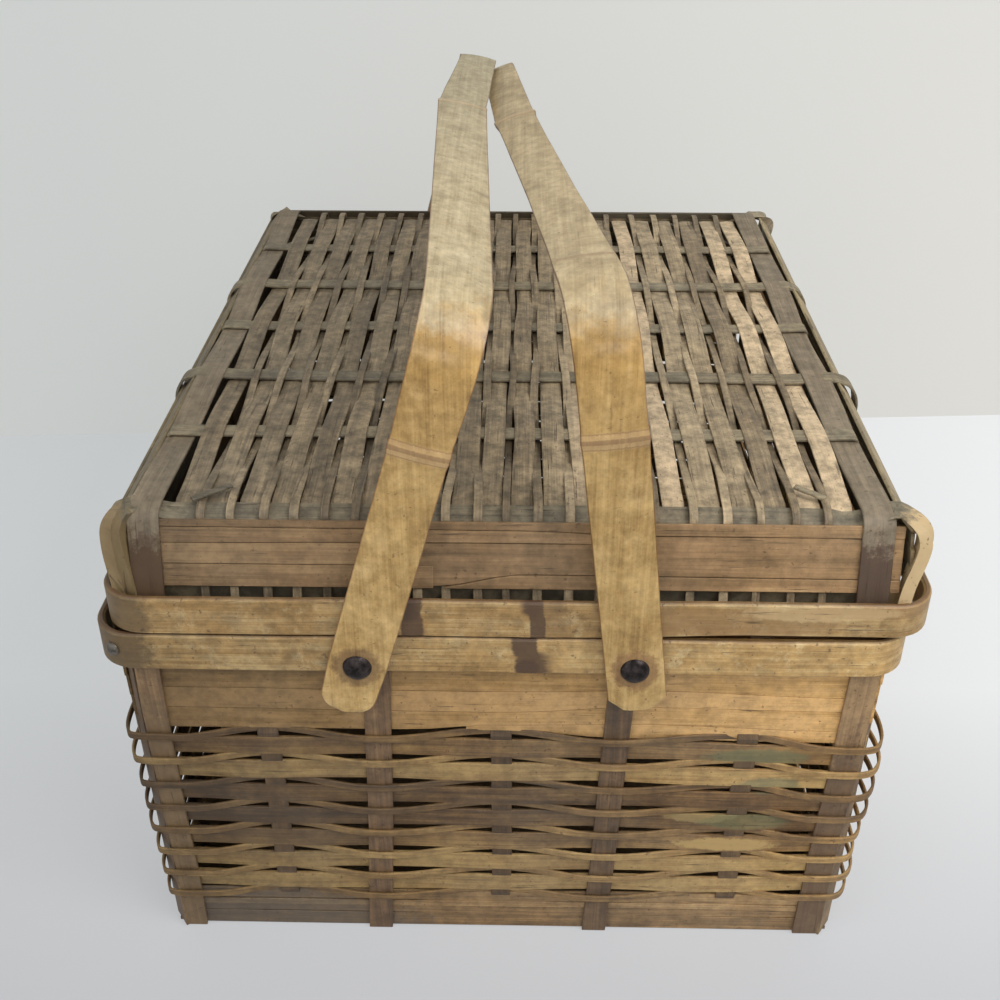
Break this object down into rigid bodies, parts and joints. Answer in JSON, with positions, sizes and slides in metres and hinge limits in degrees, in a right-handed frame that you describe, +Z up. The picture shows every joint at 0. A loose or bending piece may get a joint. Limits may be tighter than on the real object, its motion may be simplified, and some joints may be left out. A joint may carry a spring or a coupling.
{
  "type": "lidded fishing creel basket",
  "caption": "Rectangular splint basket with a hinged box lid and two flat bent swing handles pivoted on the rim.",
  "frame": {"origin": "middle of the base, on the surface it stands on", "axes": "+Z up, +Y along the long sides from the near end to the far end, +X across to the right; the lid hinges on the -X side"},
  "size_m": [0.3453, 0.4056, 0.3344],
  "materials": {
    "wall_slats": "satin",
    "wide_wales": "satin",
    "narrow_wales": "satin",
    "dark_stakes": "satin",
    "lid_splints": "matte",
    "band_bamboo": "satin",
    "bottom_bamboo": "matte",
    "handle_bamboo": "satin",
    "rivets": "satin",
    "hinges": "satin"
  },
  "bodies": {
    "body": {"band_lap_rivet": "rivets", "body_band": "band_bamboo", "body_collar": "band_bamboo", "bottom_panel": "bottom_bamboo", "bottom_splints": "bottom_bamboo", "far_base_slats": "wall_slats", "far_inner_stakes": "dark_stakes", "far_outer_stakes": "dark_stakes", "far_rim_slats": "wall_slats", "far_wide_wales": "wide_wales", "hinge_body_leaves": "hinges", "hinge_pins": "hinges", "left_base_slats": "wall_slats", "left_inner_stakes": "dark_stakes", "left_outer_stakes": "dark_stakes", "left_rim_slats": "wall_slats", "left_wide_wales": "wide_wales", "near_base_slats": "wall_slats", "near_inner_stakes": "dark_stakes", "near_outer_stakes": "dark_stakes", "near_rim_slats": "wall_slats", "near_wide_wales": "wide_wales", "pivot_rivets": "rivets", "right_base_slats": "wall_slats", "right_inner_stakes": "dark_stakes", "right_outer_stakes": "dark_stakes", "right_rim_slats": "wall_slats", "right_wide_wales": "wide_wales", "wale_hoop_1": "narrow_wales", "wale_hoop_2": "narrow_wales", "wale_hoop_3": "narrow_wales", "wale_hoop_4": "narrow_wales", "wale_hoop_5": "narrow_wales", "wale_hoop_6": "narrow_wales", "wale_hoop_7": "narrow_wales", "wale_hoop_8": "narrow_wales"},
    "lid": {"hinge_lid_leaves": "hinges", "lid_band": "band_bamboo", "lid_corner_braces": "dark_stakes", "lid_corner_straps": "dark_stakes", "lid_cross_splint_1": "lid_splints", "lid_cross_splint_2": "lid_splints", "lid_cross_splint_3": "lid_splints", "lid_cross_splint_4": "lid_splints", "lid_cross_splint_5": "lid_splints", "lid_cross_splint_6": "lid_splints", "lid_cross_splint_7": "lid_splints", "lid_far_slats": "wall_slats", "lid_inner_hoop": "band_bamboo", "lid_left_slats": "wall_slats", "lid_narrow_splints": "lid_splints", "lid_near_slats": "wall_slats", "lid_right_slats": "wall_slats", "lid_wide_splints": "lid_splints"},
    "left_swing_handle": {"left_handle_far_leg": "handle_bamboo", "left_handle_grip": "handle_bamboo", "left_handle_near_leg": "handle_bamboo"},
    "right_swing_handle": {"right_handle_far_leg": "handle_bamboo", "right_handle_grip": "handle_bamboo", "right_handle_near_leg": "handle_bamboo"}
  },
  "joints": [
    {"name": "lid_hinge", "type": "hinge", "parent": "body", "child": "lid", "pos_m": [-0.17126, 0, 0.187], "axis": [0, -1, 0], "range_deg": [0, 18]},
    {"name": "left_handle_swing", "type": "hinge", "parent": "body", "child": "left_swing_handle", "pos_m": [-0.0575, 0, 0.175], "axis": [0, -1, 0], "range_deg": [0, 136]},
    {"name": "right_handle_swing", "type": "hinge", "parent": "body", "child": "right_swing_handle", "pos_m": [0.0535, 0, 0.175], "axis": [0, 1, 0], "range_deg": [0, 132]}
  ]
}
